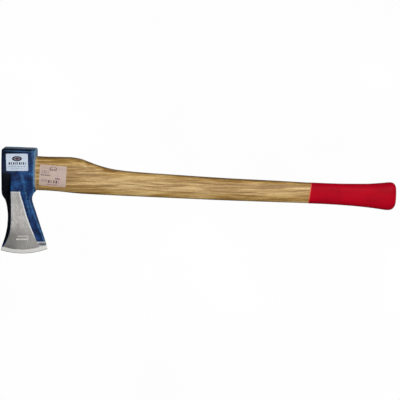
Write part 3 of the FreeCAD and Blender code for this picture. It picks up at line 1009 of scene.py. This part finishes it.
def ring_material():
    s = Shader("ring_steel")
    coords = s.node("TexCoord").outputs["Object"]
    wear = s.noise(coords, 900, 4, 0.6)
    s.set(Base_Color=s.ramp(wear, [(0.35, rgb(120, 118, 116)), (0.65, rgb(186, 184, 180))]))
    s.set(Metallic=0.85, Roughness=s.span(wear, 0.3, 0.7, 0.32, 0.55))
    s.set(Normal=s.bump(wear, 0.0002, 0.4))
    return s.material


def wedge_material():
    s = Shader("wedge_wood")
    coords = s.node("TexCoord").outputs["Object"]
    cells = s.noise(coords, 1600, 4, 0.7)
    rings = s.node("TexWave", {"Vector": coords, "Scale": 260.0, "Distortion": 3.0, "Detail": 3.0},
                   bands_direction="Y")
    tone = s.weighted((cells, 0.6), (rings.outputs["Fac"], 0.4))
    s.set(Base_Color=s.ramp(tone, [(0.3, rgb(84, 52, 28)), (0.7, rgb(142, 98, 58))]))
    s.set(Roughness=s.span(cells, 0.3, 0.7, 0.6, 0.8), Normal=s.bump(cells, 0.0002, 0.5))
    return s.material


def wear(obj, material, slot=None):
    obj.data.materials.clear()
    obj.data.materials.append(material)


# ---------------------------------------------------------------- the tool

head = make_head()
wear(head, forging_material(), "head_steel")
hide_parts("head")

handle = make_handle()
ASH = (rgb(220, 186, 124), rgb(184, 145, 80), rgb(140, 102, 44), rgb(106, 72, 28))
wear(handle, wood_material("ash", *ASH), "ash_wood")
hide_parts("handle")

grip = make_grip()
wear(grip, dip_material(), "grip_red")
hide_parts("grip_coating")

WHITE_PRINT = (rgb(214, 226, 244), rgb(200, 212, 232), rgb(22, 20, 34), rgb(74, 14, 48),
               rgb(128, 142, 150))
head_label = make_label("head_label_sheet", HEAD_LABEL, cheek_surface, head_print, 218, 180, 1.6)
wear(head_label, label_material("head_print", *WHITE_PRINT), "head_label_print")
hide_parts("head_label")

PINK_PRINT = (rgb(200, 180, 162), rgb(200, 172, 164), rgb(58, 44, 46), rgb(140, 72, 84),
              rgb(146, 116, 120))
handle_label = make_label("handle_label_sheet", HANDLE_LABEL, handle_surface, handle_print,
                          273, 215, 1.2)
wear(handle_label, label_material("handle_print", *PINK_PRINT), "handle_label_print")
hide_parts("handle_label")

for piece in (head, handle, grip, head_label, handle_label):
    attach(piece, "root")

wear(frame["nodes"]["ring_wedges"], ring_material())
wear(frame["nodes"]["kerf_wedge"], wedge_material())


# ---------------------------------------------------------------- floor, light and camera

def floor_material():
    """White to the camera, grey as a source of reflected light."""
    s = Shader("pale_floor")
    coords = s.node("TexCoord").outputs["Object"]
    tone = s.noise(coords, 3.0, 2, 0.5)
    grey = s.ramp(tone, [(0.3, rgb(126, 128, 132)), (0.7, rgb(132, 134, 138))])
    s.set(Base_Color=grey, Roughness=0.9)
    white = s.ramp(tone, [(0.3, (0.98, 0.98, 0.98)), (0.7, (1, 1, 1))])
    seen = s.node("Emission", {"Color": white, "Strength": 1.0})
    mix = s.node("MixShader", {"Fac": s.node("LightPath").outputs["Is Camera Ray"]})
    s.feed(mix.inputs[1], s.surface.outputs["BSDF"])
    s.feed(mix.inputs[2], seen.outputs["Emission"])
    s.feed(s.tree.nodes["Material Output"].inputs["Surface"], mix.outputs["Shader"])
    return s.material


def make_floor():
    mesh = bpy.data.meshes.new("floor")
    cells, half = 12, 5.0
    at = np.linspace(-half, half, cells + 1)
    verts = [(x, y, 0.0) for x in at for y in at]
    row = cells + 1
    corners = [i * row + j for i in range(cells) for j in range(cells)]
    mesh.from_pydata(verts, [], [(a, a + row, a + row + 1, a + 1) for a in corners])
    floor = bpy.data.objects.new("floor", mesh)
    bpy.context.scene.collection.objects.link(floor)
    mesh.materials.append(floor_material())


def area_light(name, at, towards, size, power):
    data = bpy.data.lights.new(name, "AREA")
    data.shape = "DISK"
    data.size = size
    data.energy = power
    lamp = bpy.data.objects.new(name, data)
    bpy.context.scene.collection.objects.link(lamp)
    lamp.location = at
    lamp.rotation_euler = (Vector(towards) - Vector(at)).to_track_quat("-Z", "Y").to_euler()


def make_world(seen, lighting):
    """Even surroundings: bright behind the object, dimmer as a light."""
    world = bpy.data.worlds.new("studio")
    bpy.context.scene.world = world
    world.use_nodes = True
    nodes, links = world.node_tree.nodes, world.node_tree.links
    light = nodes["Background"]
    light.inputs["Color"].default_value = (1, 1, 1, 1)
    light.inputs["Strength"].default_value = lighting
    view = nodes.new("ShaderNodeBackground")
    view.inputs["Color"].default_value = (1, 1, 1, 1)
    view.inputs["Strength"].default_value = seen
    mix = nodes.new("ShaderNodeMixShader")
    path = nodes.new("ShaderNodeLightPath")
    links.new(path.outputs["Is Camera Ray"], mix.inputs["Fac"])
    links.new(light.outputs["Background"], mix.inputs[1])
    links.new(view.outputs["Background"], mix.inputs[2])
    links.new(mix.outputs["Shader"], nodes["World Output"].inputs["Surface"])


make_floor()
make_world(seen=1.0, lighting=0.05)
area_light("key", at=(1.1, 0.6, 1.9), towards=(-0.1, 0.0, 0.0), size=0.7, power=40)
area_light("front", at=(0.0, -0.6, 2.0), towards=(-0.3, 0.0, 0.0), size=0.8, power=14)

camera_data = bpy.data.cameras.new("camera")
camera_data.sensor_width = SENSOR_MM
camera_data.lens = LENS_MM
camera = bpy.data.objects.new("camera", camera_data)
bpy.context.scene.collection.objects.link(camera)
camera.location = CAMERA_AT
bpy.context.scene.camera = camera
bpy.context.scene.view_settings.view_transform = "Standard"
